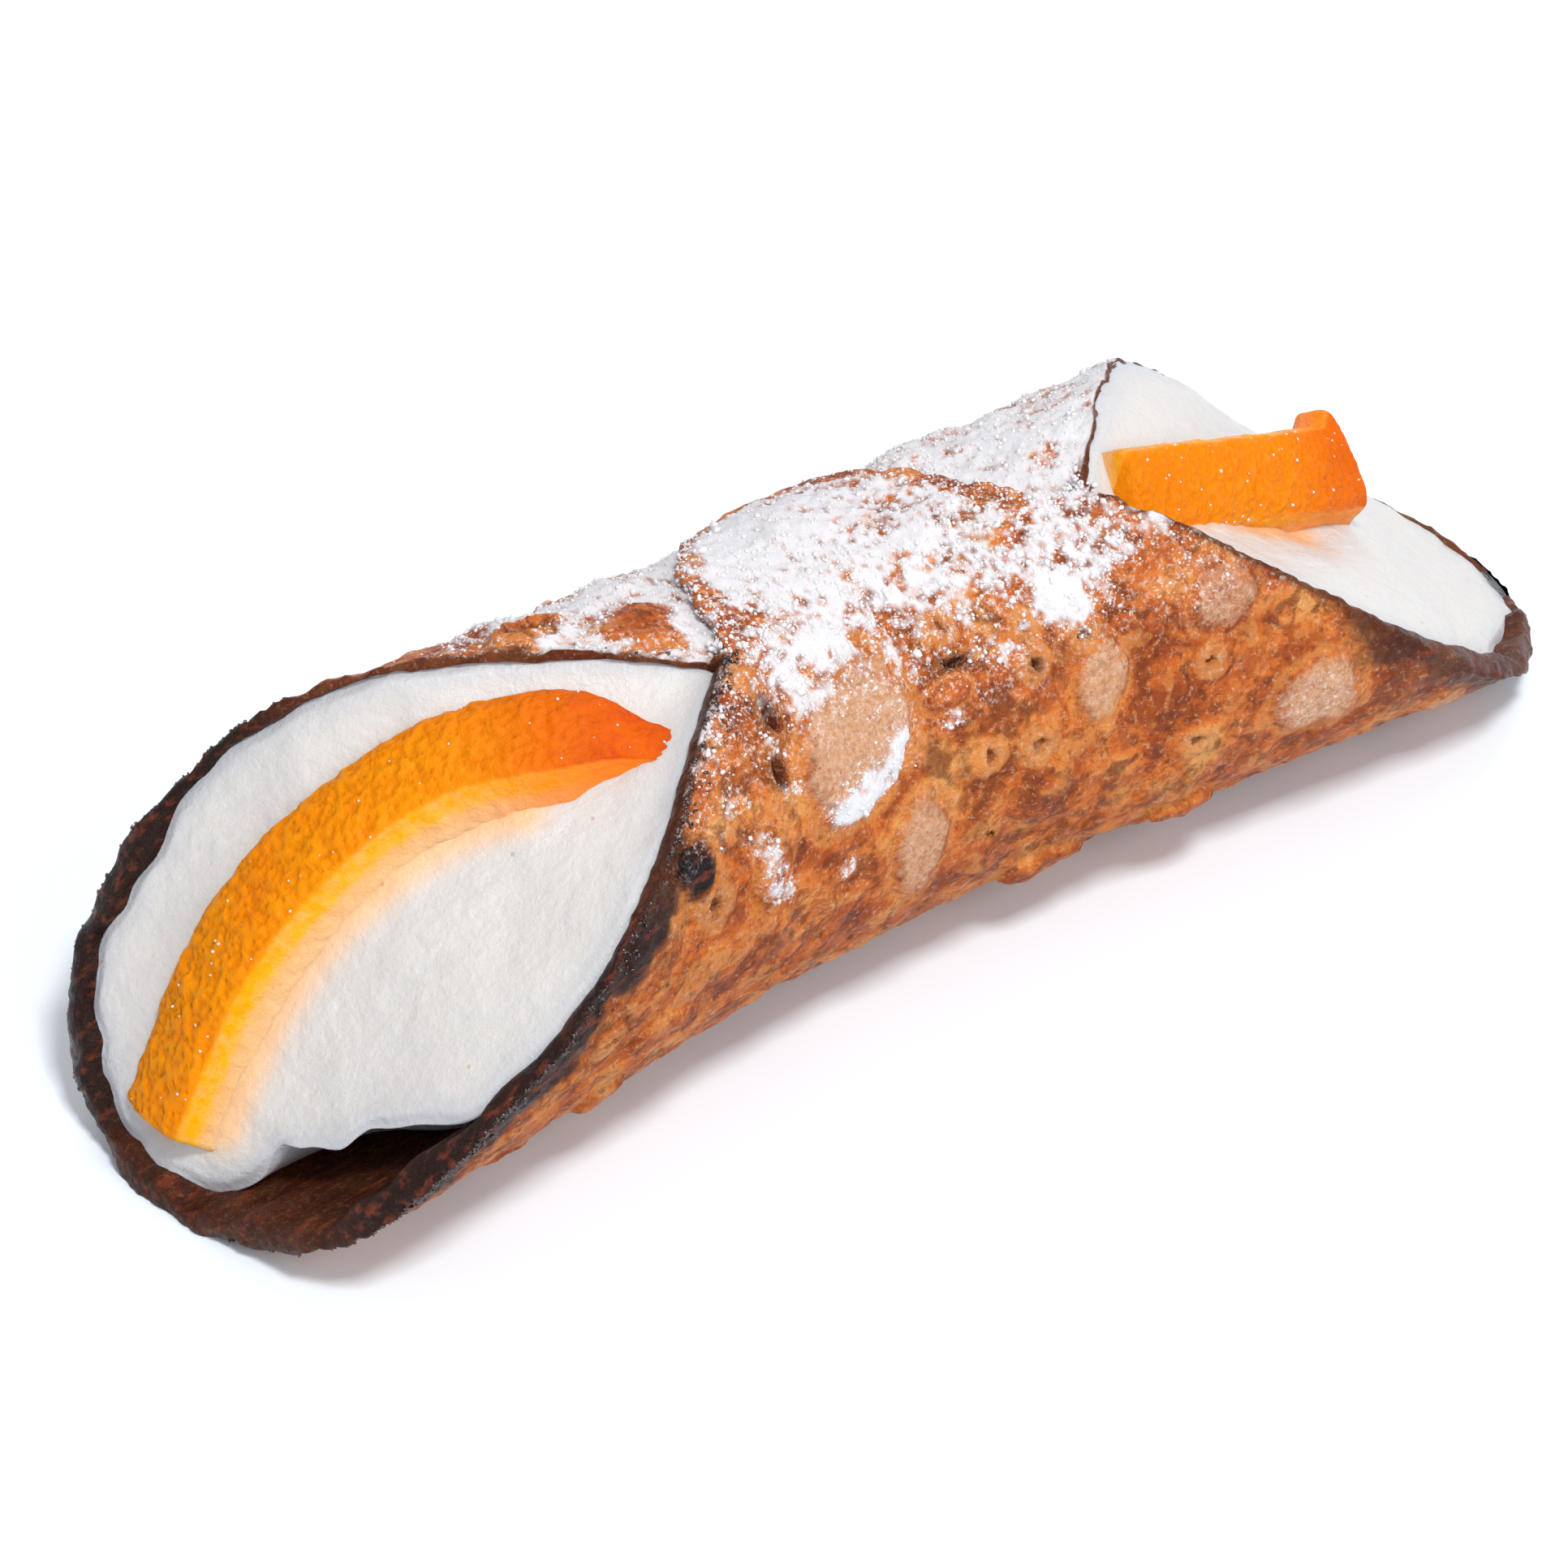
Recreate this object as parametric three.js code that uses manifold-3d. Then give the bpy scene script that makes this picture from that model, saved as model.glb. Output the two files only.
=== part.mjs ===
// A cannolo: a wrapped, fried shell, the cream that runs right through it and two strips of candied peel
import * as THREE from 'three';
import { mergeVertices } from 'three/addons/utils/BufferGeometryUtils.js';
import Module from 'manifold-3d';

const wasm = await Module();
wasm.setup();

const degrees = Math.PI / 180;

// Sizes in millimetres. The tube lies along X, with the near mouth at -X.
// A wrap angle runs round the tube from the underside: positive by the front, negative by the back,
// and half a turn either way is the crest, where the two flaps of dough meet.
const waistRadius = 19.4;
const axisHeight = 21.2;
const wall = 2.6;
const gap = 0.3;
const lipBend = 1.5;
const roll = 19 * degrees;

// The front flap laps over the back one, which lifts it before the crest
const flapLift = 1.8;
const flapReach = 78 * degrees;
const flapRise = 70 * degrees;

// Reach of each rim along the tube and its distance from the axis, every 45 degrees of wrap,
// from the crest by the back and the underside to the crest again.
// Low on the front the cream stops short of the rim by the pocket and stands off the wall by the clearance.
const nearMouth = {
  side: -1,
  reach: [17, 40, 57, 70, 73.5, 70.5, 62, 38, 17],
  radius: [21.6, 22.5, 22, 22, 22, 22, 25, 26, 21.6],
  pocket: 3.6,
  clearance: 5.4,
};
const farMouth = {
  side: 1,
  reach: [23, 36.5, 49, 62, 76.5, 74.5, 59, 40, 23],
  radius: [21, 19.5, 19, 21.5, 22, 22.5, 24, 22, 21],
  pocket: 0,
  clearance: 0,
};

// The rounded edge of a mouth stands proud of the rim
const edgeBulge = 0.5;

// The cream stops short of the rims by a setback that grows from the crest to the underside.
// Its faces are domed.
const crestSetback = 0.6;
const addedSetback = 1.2;
const creamDome = 2;

// Wrap angles in degrees where the pocket and the clearance start, are full, begin to fade and end
const pocketSpan = [8, 40, 80, 109];
const clearanceSpan = [28, 55, 80, 109];

// Grid counts
const shellRows = 40;
const innerRows = 14;
const frontColumns = 28;
const backColumns = 20;
const creamRows = 9;
const creamColumns = 48;
const creamAcross = 14;

// Blisters that stand clear of the crust: place along the tube, wrap in degrees, radius, rise
const blisters = [
  [-8.3, 155, 6.5, 1.2],
  [-3.8, 113, 4.8, 0.9],
  [16.9, 136, 4.2, 0.8],
  [39, 107, 5.2, 1.0],
  [31, 144, 4.6, 0.8],
  [-20.6, 131, 4.0, 0.9],
  [-29, 140, 3.4, 1.1],
  [10.5, 124, 3.8, 0.7],
  [-27.6, -141, 4.6, 1.1],
  [-18.4, -154, 4.4, 0.8],
];

// A seeded scatter of others over the back and the underside, each value drawn between two ends
const unseenBlisters = {
  count: 22,
  seed: 7,
  along: [-52, 52],
  wrap: [-130, 70],
  radius: [3.6, 6.2],
  rise: [0.5, 1.1],
};

// Candied peel: middle line of the coloured face, and the way that face looks at either end,
// in the frame of the tube before it is rolled
const nearPeel = {
  line: [
    [-71.6, -0.3, -14], [-64.2, 5.2, -3.8], [-55.4, 7.9, 5],
    [-43.2, 7.4, 14.2], [-32, 2.2, 19.6], [-25.4, -4, 22],
  ],
  faceStart: [-0.85, 0.25, 0.47],
  faceEnd: [-0.2, 0.25, 0.92],
  width: 8.6,
  thickness: 5.6,
  stations: 20,
};
const farPeel = {
  line: [[28.6, -0.8, 19.6], [42, -0.9, 13], [59.6, -0.7, 3.2]],
  faceStart: [0.35, -0.57, 0.745],
  faceEnd: [0.35, -0.57, 0.745],
  width: 8.2,
  thickness: 5.0,
  stations: 14,
};
const peelSection = 16;

// The ends of a strip bulge a little and are smaller than its middle
const peelEndBulge = 0.7;
const peelEndSize = 0.8;

function seededRandom(seed) {
  let state = seed;
  return () => {
    state = (state * 1664525 + 1013904223) % 4294967296;
    return state / 4294967296;
  };
}

// Smooth curve through values given every 45 degrees of wrap
function throughStations(values, wrap) {
  const last = values.length - 1;
  const place = THREE.MathUtils.clamp((wrap / Math.PI + 1) * 0.5 * last, 0, last);
  const index = Math.min(Math.floor(place), last - 1);
  const before = index > 0 ? values[index - 1] : 2 * values[0] - values[1];
  const after = index < last - 1 ? values[index + 2] : 2 * values[last] - values[last - 1];
  const [start, end] = [values[index], values[index + 1]];
  const t = place - index;
  const cubic = 3 * (start - end) + after - before;
  const square = 2 * before - 5 * start + 4 * end - after;
  return start + 0.5 * t * (end - before + t * (square + t * cubic));
}

// A wrap angle past the crest, written as one on the other side
function foldWrap(wrap) {
  return wrap > Math.PI ? wrap - 2 * Math.PI : wrap;
}

// Point on the shell at a share of the way from the waist (0) to a rim (-1 or 1)
function tubePoint(share, wrap, offset) {
  const mouth = share < 0 ? nearMouth : farMouth;
  const folded = foldWrap(wrap);
  const lip = throughStations(mouth.radius, folded) - waistRadius;
  const radius = waistRadius + lip * Math.abs(share) ** lipBend + offset;
  const along = share * throughStations(mouth.reach, folded);
  return new THREE.Vector3(along, -radius * Math.sin(wrap), -radius * Math.cos(wrap));
}

// How far past the crest the front flap reaches
function flapEdge(share) {
  return flapReach * Math.max(0, 1 - Math.hypot(share, 0.08)) ** 1.8;
}

// The front flap climbs over the back one as it nears the crest
function frontLift(wrap) {
  return flapLift * THREE.MathUtils.smoothstep(wrap, Math.PI - flapRise, Math.PI);
}

// Seen blisters and the scatter of unseen ones
function allBlisters() {
  const { count, seed, along, wrap, radius, rise } = unseenBlisters;
  const random = seededRandom(seed);
  const draw = ([low, high]) => low + (high - low) * random();
  const scatter = Array.from({ length: count }, () => [along, wrap, radius, rise].map(draw));
  return [...blisters, ...scatter];
}

const crust = allBlisters();

function blisterRise(point, wrap) {
  let rise = 0;
  for (const [along, angle, radius, height] of crust) {
    const round = (foldWrap(wrap) - angle * degrees) * waistRadius;
    const inside = 1 - ((point.x - along) ** 2 + round ** 2) / radius ** 2;
    rise = Math.max(rise, inside > 0 ? height * inside ** 1.5 : 0);
  }
  return rise;
}

// Columns round the shell: the front to the edge of its flap, then the back
function wrapColumns(edge) {
  const rest = 2 * Math.PI - edge;
  const columns = [];
  for (let j = 0; j <= frontColumns; j += 1) {
    const wrap = (edge * j) / frontColumns;
    columns.push({ wrap, lift: frontLift(wrap) });
  }
  for (let j = 0; j < backColumns; j += 1) {
    columns.push({ wrap: -rest * (1 - j / backColumns), lift: 0 });
  }
  return columns;
}

function outerRow(share) {
  return wrapColumns(Math.PI + flapEdge(share)).map(({ wrap, lift }) => {
    const plain = tubePoint(share, wrap, lift);
    return tubePoint(share, wrap, lift + blisterRise(plain, wrap));
  });
}

function innerRow(share) {
  return wrapColumns(Math.PI).map(({ wrap }) => tubePoint(share, wrap, -wall));
}

// Points along the middle of a mouth's rounded edge
function edgeRow(share) {
  return wrapColumns(Math.PI).map(({ wrap, lift }) => {
    const point = tubePoint(share, wrap, 0.5 * (lift - wall));
    point.x += edgeBulge * Math.sign(share);
    return point;
  });
}

function evenly(count, from, to) {
  return Array.from({ length: count + 1 }, (_, i) => from + ((to - from) * i) / count);
}

// Triangles between two rows of points, split along the shorter diagonal of each cell.
// A closed row joins its last point to its first.
function stripTriangles(first, second, closed) {
  const triangles = [];
  const count = first.length - (closed ? 0 : 1);
  for (let j = 0; j < count; j += 1) {
    const next = (j + 1) % first.length;
    const [a, b, c, d] = [first[j], first[next], second[next], second[j]];
    const corners = a.distanceTo(c) < b.distanceTo(d) ? [a, b, c, a, c, d] : [a, b, d, b, c, d];
    triangles.push(...corners);
  }
  return triangles;
}

// One closed solid from loose triangles
function solidFrom(triangles) {
  const positions = triangles.flatMap((point) => [point.x, point.y, point.z]);
  const loose = new THREE.BufferGeometry();
  loose.setAttribute('position', new THREE.Float32BufferAttribute(positions, 3));
  const joined = mergeVertices(loose, 1e-3);
  const corners = joined.index.array;
  const kept = [];
  for (let k = 0; k < corners.length; k += 3) {
    const [a, b, c] = corners.slice(k, k + 3);
    if (a !== b && b !== c && c !== a) kept.push(a, b, c);
  }
  const vertProperties = new Float32Array(joined.attributes.position.array);
  const mesh = (order) => new wasm.Mesh({ numProp: 3, vertProperties, triVerts: new Uint32Array(order) });
  const solid = new wasm.Manifold(mesh(kept));
  return solid.volume() > 0 ? solid : new wasm.Manifold(mesh(kept.reverse()));
}

// Turn the tube to the way it lies, and flatten whatever would go under the floor
function lieDown(point) {
  const laid = point.clone().applyAxisAngle(new THREE.Vector3(1, 0, 0), roll);
  laid.z = Math.max(0, laid.z + axisHeight);
  return laid;
}

function makeShell() {
  const rows = [
    ...evenly(shellRows, -1, 1).map(outerRow),
    edgeRow(1),
    ...evenly(innerRows, 1, -1).map(innerRow),
    edgeRow(-1),
  ].map((row) => row.map(lieDown));
  return solidFrom(rows.flatMap((row, i) => stripTriangles(row, rows[(i + 1) % rows.length], true)));
}

// One between the middle two of four wrap angles, fading to nothing at the outer two
function between(wrap, [low, full, fading, high]) {
  const rise = THREE.MathUtils.smoothstep(wrap, low * degrees, full * degrees);
  return rise * (1 - THREE.MathUtils.smoothstep(wrap, fading * degrees, high * degrees));
}

// The cream stops a little short of the rim
function creamEdge(mouth, wrap) {
  const dip = mouth.pocket * between(wrap, pocketSpan);
  const setback = crestSetback + addedSetback * Math.cos(wrap / 2) ** 2 + dip;
  const share = mouth.side * (1 - setback / throughStations(mouth.reach, wrap));
  const inwards = wall + gap + mouth.clearance * between(wrap, clearanceSpan);
  return { share, point: tubePoint(share, wrap, -inwards) };
}

// Beyond its edges the cream lies against the wall all the way through
function creamSidePoint(step, wrap) {
  const start = creamEdge(nearMouth, wrap);
  const end = creamEdge(farMouth, wrap);
  if (step === 0) return start.point;
  const share = start.share + ((end.share - start.share) * step) / creamRows;
  return tubePoint(share, wrap, -wall - gap);
}

// The surface of the cream in a mouth runs across from the back to the front, slightly domed
function creamFace(mouth) {
  const half = creamColumns / 2;
  const dome = new THREE.Vector3(0.8 * mouth.side, 0, 0.6).multiplyScalar(creamDome);
  return evenly(half, -Math.PI, 0).map((wrap) => {
    const back = creamEdge(mouth, wrap).point;
    const front = creamEdge(mouth, -wrap).point;
    const fullness = Math.sin(wrap) ** 2;
    return evenly(creamAcross, 0, 1).map((across) => {
      const point = back.clone().lerp(front, across);
      return point.addScaledVector(dome, fullness * 4 * across * (1 - across));
    });
  });
}

function makeCream(peels) {
  const wraps = evenly(creamColumns, -Math.PI, Math.PI).slice(0, creamColumns);
  const side = evenly(creamRows, 0, creamRows).map((step) => wraps.map((wrap) => creamSidePoint(step, wrap)));
  const near = creamFace(nearMouth);
  const far = creamFace(farMouth);
  const triangles = [
    ...side.slice(1).flatMap((row, i) => stripTriangles(side[i], row, true)),
    ...near.slice(1).flatMap((row, i) => stripTriangles(near[i], row, false)),
    ...far.slice(1).flatMap((row, i) => stripTriangles(row, far[i], false)),
  ];
  const filling = solidFrom(triangles.map(lieDown));
  const pieces = peels.reduce((solid, peel) => solid.subtract(peel), filling).decompose();
  return pieces.sort((a, b) => b.volume() - a.volume())[0];
}

// One cross-section of a strip of peel: flat faces with rounded corners
function peelRing(peel, curve, t, grow, shrink) {
  const centre = curve.getPointAt(t);
  const tangent = curve.getTangentAt(t);
  const face = new THREE.Vector3(...peel.faceStart).lerp(new THREE.Vector3(...peel.faceEnd), t);
  face.addScaledVector(tangent, -face.dot(tangent)).normalize();
  const across = new THREE.Vector3().crossVectors(tangent, face);
  const halfWidth = (peel.width / 2) * shrink + grow;
  const halfDepth = (peel.thickness / 2) * shrink + grow;
  const squared = (value) => Math.sign(value) * Math.sqrt(Math.abs(value));
  return Array.from({ length: peelSection }, (_, k) => {
    const angle = (2 * Math.PI * (k + 0.5)) / peelSection;
    const point = centre.clone().addScaledVector(face, -peel.thickness / 2);
    point.addScaledVector(across, halfWidth * squared(Math.cos(angle)));
    return point.addScaledVector(face, halfDepth * squared(Math.sin(angle)));
  });
}

function makePeel(peel, grow) {
  const curve = new THREE.CatmullRomCurve3(peel.line.map((place) => new THREE.Vector3(...place)));
  const body = evenly(peel.stations, 0, 1).map((t) => peelRing(peel, curve, t, grow, 1));
  const push = (row, t, by) => row.map((point) => point.clone().addScaledVector(curve.getTangentAt(t), by));
  const ends = [
    push(peelRing(peel, curve, 0, grow, peelEndSize), 0, -peelEndBulge - grow),
    push(peelRing(peel, curve, 1, grow, peelEndSize), 1, peelEndBulge + grow),
  ];
  const rings = [ends[0], ...body, ends[1]];
  const middles = ends.map((row) => {
    const sum = row.reduce((total, point) => total.add(point), new THREE.Vector3());
    return sum.divideScalar(row.length);
  });
  const triangles = [
    ...stripTriangles(Array(peelSection).fill(middles[0]), ends[0], true),
    ...rings.slice(1).flatMap((row, i) => stripTriangles(rings[i], row, true)),
    ...stripTriangles(ends[1], Array(peelSection).fill(middles[1]), true),
  ];
  return solidFrom(triangles.map(lieDown));
}

function meshFrom(name, solid, colour, roughness) {
  const { vertProperties, triVerts } = solid.getMesh();
  const geometry = new THREE.BufferGeometry();
  geometry.setAttribute('position', new THREE.Float32BufferAttribute(vertProperties, 3));
  geometry.setIndex(Array.from(triVerts));
  geometry.computeVertexNormals();
  const look = { color: colour, roughness, metalness: 0, flatShading: true };
  const material = new THREE.MeshStandardMaterial(look);
  const mesh = new THREE.Mesh(geometry, material);
  mesh.name = name;
  return mesh;
}

const cannolo = new THREE.Group();
cannolo.name = 'cannolo';
cannolo.add(meshFrom('shell', makeShell(), 0xb06a33, 0.7));
cannolo.add(meshFrom('cream', makeCream([makePeel(nearPeel, gap), makePeel(farPeel, gap)]), 0xeeebe2, 0.55));
cannolo.add(meshFrom('near_peel', makePeel(nearPeel, 0), 0xf0851a, 0.4));
cannolo.add(meshFrom('far_peel', makePeel(farPeel, 0), 0xf0851a, 0.4));

// The origin is on the floor, under the middle of the whole
const middle = new THREE.Box3().setFromObject(cannolo).getCenter(new THREE.Vector3());
for (const mesh of cannolo.children) mesh.geometry.translate(-middle.x, -middle.y, 0);

export default cannolo;
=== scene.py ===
"""A cannolo on a pale floor: blistered crust, icing sugar, cream and two strips of candied peel."""
import math

import bmesh
import bpy
import numpy as np
from mathutils import Matrix, Vector


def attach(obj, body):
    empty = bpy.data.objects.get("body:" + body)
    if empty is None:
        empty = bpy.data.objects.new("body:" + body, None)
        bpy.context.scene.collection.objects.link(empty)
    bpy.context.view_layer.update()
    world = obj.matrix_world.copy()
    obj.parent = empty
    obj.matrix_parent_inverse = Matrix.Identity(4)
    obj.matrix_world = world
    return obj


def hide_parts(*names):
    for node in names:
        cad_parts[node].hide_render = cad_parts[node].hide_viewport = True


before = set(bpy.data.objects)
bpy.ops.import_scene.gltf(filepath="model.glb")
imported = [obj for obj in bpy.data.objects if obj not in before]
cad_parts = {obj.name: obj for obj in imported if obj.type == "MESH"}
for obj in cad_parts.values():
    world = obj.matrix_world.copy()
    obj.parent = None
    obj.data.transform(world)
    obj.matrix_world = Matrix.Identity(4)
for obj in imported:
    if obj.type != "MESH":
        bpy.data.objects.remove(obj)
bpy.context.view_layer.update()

# Sizes in millimetres, in the frame of the tube before it is rolled: it lies along X, the near mouth at -X.
# A wrap angle runs round the tube from the underside: positive by the front, negative by the back,
# and half a turn either way is the crest.
MM = 0.001
DEGREES = math.pi / 180
WAIST_RADIUS = 19.4
AXIS_HEIGHT = 21.2
WALL = 2.6
LIP_BEND = 1.5
ROLL = 19 * DEGREES
MIDDLE = (2.012, -1.974)

# The front flap laps over the back one
FLAP_LIFT = 1.8
FLAP_REACH = 78 * DEGREES
FLAP_RISE = 70 * DEGREES

# The cream reaches a little into the wall, and behind the near mouth it soon meets the wall all round
CREAM_OVERLAP = 0.15
CREAM_NECK = 0.12

# Mouths: how far the rim reaches along the tube and from the axis, every 45 degrees from crest to crest
# by the back, and the cream's pocket, its gap from the wall, its dome and its sinking beside the peel
NEAR = {
    "side": -1,
    "reach": [17, 40, 57, 70, 73.5, 70.5, 62, 38, 17],
    "radius": [21.6, 22.5, 22, 22, 22, 22, 25, 26, 21.6],
    "pocket": 3.6,
    "gap": 5.4,
    "dome": 1.6,
    "sunk": -0.9,
}
FAR = {
    "side": 1,
    "reach": [23, 36.5, 49, 62, 76.5, 74.5, 59, 40, 23],
    "radius": [21, 19.5, 19, 21.5, 22, 22.5, 24, 22, 21],
    "pocket": 2,
    "gap": 0,
    "dome": 1.6,
    "sunk": 2.2,
}

# Blisters that the photograph shows: along, wrap in degrees, half lengths along and round, rise, paleness
BLISTERS = [
    (-8.9, 151, 6.3, 6.9, 1.1, 1.0),
    (-4.0, 113, 3.5, 5.6, 0.8, 0.9),
    (16.8, 136, 3.1, 3.8, 0.7, 0.85),
    (39.0, 107, 5.2, 4.2, 0.9, 0.95),
    (31.2, 144, 4.0, 3.0, 0.7, 0.7),
    (-21.2, 131, 2.3, 4.4, 0.8, 0.4),
    (-29.6, 141, 2.2, 2.2, 1.0, 0.0),
    (1.6, 150, 2.6, 1.3, 0.9, 0.0),
    (10.5, 112, 4.5, 4.0, 0.5, 0.15),
    (24.0, 92, 4.5, 3.6, 0.5, 0.2),
    (-34.0, 96, 5.0, 4.0, 0.6, 0.3),
    (-29.0, -146, 4.4, 3.0, 1.0, 0.2),
    (-20.5, -158, 4.4, 3.4, 0.8, 0.0),
    (12.0, 74, 5.5, 2.6, 1.3, 0.1),
    (26.3, 79, 4.2, 1.8, 1.4, 0.1),
    (-39.0, 78, 3.4, 3.0, 0.9, 0.2),
]
# Blisters stand upright to the camera, so each degree beyond the upright angle makes them lean more
BLISTER_LEAN = 0.0065
UPRIGHT_ANGLE = 105
# Ranges in which other blisters lie: along, wrap in degrees, half length
UNSEEN_ALONG, UNSEEN_WRAP, UNSEEN_SIZES = (-58, 58), (-165, 95), (2.0, 5.0)
TINY_ALONG, TINY_WRAP, TINY_SIZES = (-66, 66), (-178, 178), (0.7, 1.7)
# Small burst bubbles, golden with a pit in the middle: along, wrap in degrees, radius
RINGS = [
    (11.3, 158, 1.4), (16.5, 150, 1.5), (10.8, 148, 1.5), (9.3, 128, 1.7), (4.3, 130, 1.5),
    (28.0, 130, 1.4), (26.0, 108, 1.5), (-28.4, 130, 2.0), (-41.0, 110, 1.4), (3.6, 166, 1.6),
]
# Torn bubbles that are open to the dark inside: along, wrap in degrees, half length along, half length round
TEARS = [
    (-16.4, 164, 0.8, 1.7), (-18.0, 151, 0.7, 1.5), (3.7, 157, 1.5, 0.5), (10.8, 148, 0.5, 0.5),
    (4.0, 104, 0.3, 0.3), (-29.0, -146, 2.4, 0.9),
]
# One spot is burnt black: along, wrap in degrees, radius
BURNT_SPOT = (-29.9, 141, 2.2)
# Patches fried darker: along, wrap in degrees, half length along, half length round, strength
DARK_PATCHES = [
    (6, 128, 10, 7, 0.65), (13, 150, 6, 4, 0.55), (-19, 160, 3.5, 6, 0.45), (3, 110, 11, 4, 0.45),
    (-11.5, 128, 3, 8, 0.35), (-1.5, 133, 3.2, 5, 0.8), (50, 100, 8, 6, 0.6), (25, 94, 13, 4, 0.45),
    (-36, 118, 4, 7, 0.4),
]
# Sugar caught in hollows: along, wrap in degrees, half length along, half length round, amount
SUGAR_SPOTS = [
    (-7.5, 176, 4.5, 4.0, 0.95), (-12.4, 168, 2.2, 3.6, 0.86), (-21.4, 131, 1.7, 3.6, 0.8),
    (1.4, 144, 1.5, 1.1, 0.78), (-12.4, 119, 1.5, 1.1, 0.7), (-13.0, 179, 3.0, 3.4, 0.85),
    (-17.6, 157, 1.0, 1.0, 0.85), (-17.2, 146, 1.4, 1.0, 0.85), (39, 108, 3.8, 2.8, 0.62),
    (15.8, 161, 3.0, 3.4, 0.95), (11.3, 158, 0.6, 0.6, 0.85), (16.5, 150, 0.8, 0.8, 0.75),
    (29, 151, 6.0, 3.0, 0.68), (-15.5, -168, 3.2, 4.5, 1.1), (-22.5, 140, 1.6, 1.6, 0.7),
    (-19.5, 124, 1.2, 1.8, 0.72), (-23.5, 150, 2.4, 1.6, 0.68),
]
# Patches that the sugar leaves bare: along, wrap in degrees, half length along, half width in degrees, amount
BARE_PATCHES = [(-20.5, -158, 3.2, 8, 0.75), (-29.0, -146, 3.4, 6, 0.6)]
# Heaps of sugar at the ends of the flap: place and number of lumps
SUGAR_HEAPS = [((22.6, 0.6, 21.6), 90), ((-16.0, 1.5, 21.0), 60)]
# The sugar fell from a little behind the crest
SUGAR_FALL = 12 * DEGREES
# Radii of lumps and crumbs
SUGAR_SIZE = 0.13
SUGAR_SPREAD = 0.45
PEEL_SUGAR_SIZES = (0.06, 0.2)
HEAP_SIZES = (0.15, 0.42)
HEAP_SPREAD = 0.8
CRUMB_SIZES = (0.08, 0.32)

# Candied peel: middle line of the zest and the way it faces at either end. The pith flares beyond the zest.
# The last end may slant, narrow or grow a horn, and blushes redder, while a painted shade darkens all of the
# strip towards red.
NEAR_PEEL = {
    "line": [
        (-72.4, -0.5, -15.4), (-64.2, 5.2, -3.8), (-55.4, 7.9, 5.0),
        (-43.2, 7.4, 14.2), (-32.0, 2.2, 19.6), (-24.6, -4.6, 22.2),
    ],
    "face": [(-0.85, 0.25, 0.47), (-0.2, 0.25, 0.92)],
    "width": 9.0,
    "thickness": 5.6,
    "flare": 1.8,
    "slant": (0.0, 0.0),
    "round": 1.6,
    "blush": 1.0,
    "painted_shade": 0.0,
    "narrow": 0.62,
    "horn": 0.0,
}
FAR_PEEL = {
    "line": [(28.6, -0.8, 19.6), (42, -0.9, 13), (59.6, -0.7, 3.2)],
    "face": [(0.35, -0.57, 0.745), (0.35, -0.57, 0.745)],
    "width": 8.2,
    "thickness": 5.0,
    "flare": 1.8,
    "slant": (0.0, 0.45),
    "round": 0.9,
    "blush": 0.55,
    # Painted shade: the whole far strip is darkened towards red
    "painted_shade": 0.2,
    "narrow": 0.0,
    "horn": 1.7,
}

# Roundness of the strips' corners: 1 makes the section an ellipse, and less makes it squarer
PEEL_CORNERS = 0.45

# The photograph's camera, with its aim in the frame of the part
CAMERA_AZIMUTH = -35.08
CAMERA_ELEVATION = 42.0
CAMERA_DISTANCE = 900
CAMERA_AIM = (-5.28 - MIDDLE[0], -MIDDLE[1], 16.2)
FIELD_WIDTH = 143.7
SENSOR_WIDTH = 36

# Studio in metres and watts: a bright soft room, and square lamps with their place, size and power
ROOM_COLOUR = (0.93, 0.95, 1.0, 1)
ROOM_STRENGTH = 0.52
LAMP_COLOUR = (1.0, 0.98, 0.95)
LAMP_AIM = (0, 0, 0.02)
LAMPS = {
    "key": ((-0.1, -0.42, 0.93), 0.18, 7.0),
    "back": ((0.6, 0.6, 0.75), 0.6, 3.2),
    "fill": ((0.1, -0.85, 0.6), 0.6, 4.0),
}
FLOOR_HALF = 3.0

# Counts of rows, columns and scattered things
SHELL_ROWS = 440
FRONT_COLUMNS = 270
LAP_COLUMNS = 6
BACK_COLUMNS = 180
INNER_ROWS = 48
RIM_ROWS = 5
CREAM_COLUMNS = 480
CREAM_RINGS = 110
PEEL_ROWS = 220
PEEL_SECTION = 120
PEEL_SPOTS = 60
CURVE_STEPS = 400
SECTION_STEPS = 4001
ZEST_PORES = 1500
PORE_ROWS = 6
UNSEEN_BLISTERS = 46
TINY_BLISTERS = 230
SUGAR_LUMPS = 7000
PEEL_SUGAR = 45
RIM_CRUMBS = 900

random = np.random.default_rng(11)


def smoothstep(low, high, value):
    """Smooth rise from 0 at low to 1 at high, in either direction."""
    t = np.clip((value - low) / (high - low), 0, 1)
    return t * t * (3 - 2 * t)


def hex_colour(code):
    """Linear colour from a display colour written as six hex digits."""
    channels = [int(code[i:i + 2], 16) / 255 for i in (0, 2, 4)]
    return tuple(c / 12.92 if c <= 0.04045 else ((c + 0.055) / 1.055) ** 2.4 for c in channels) + (1.0,)


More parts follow.
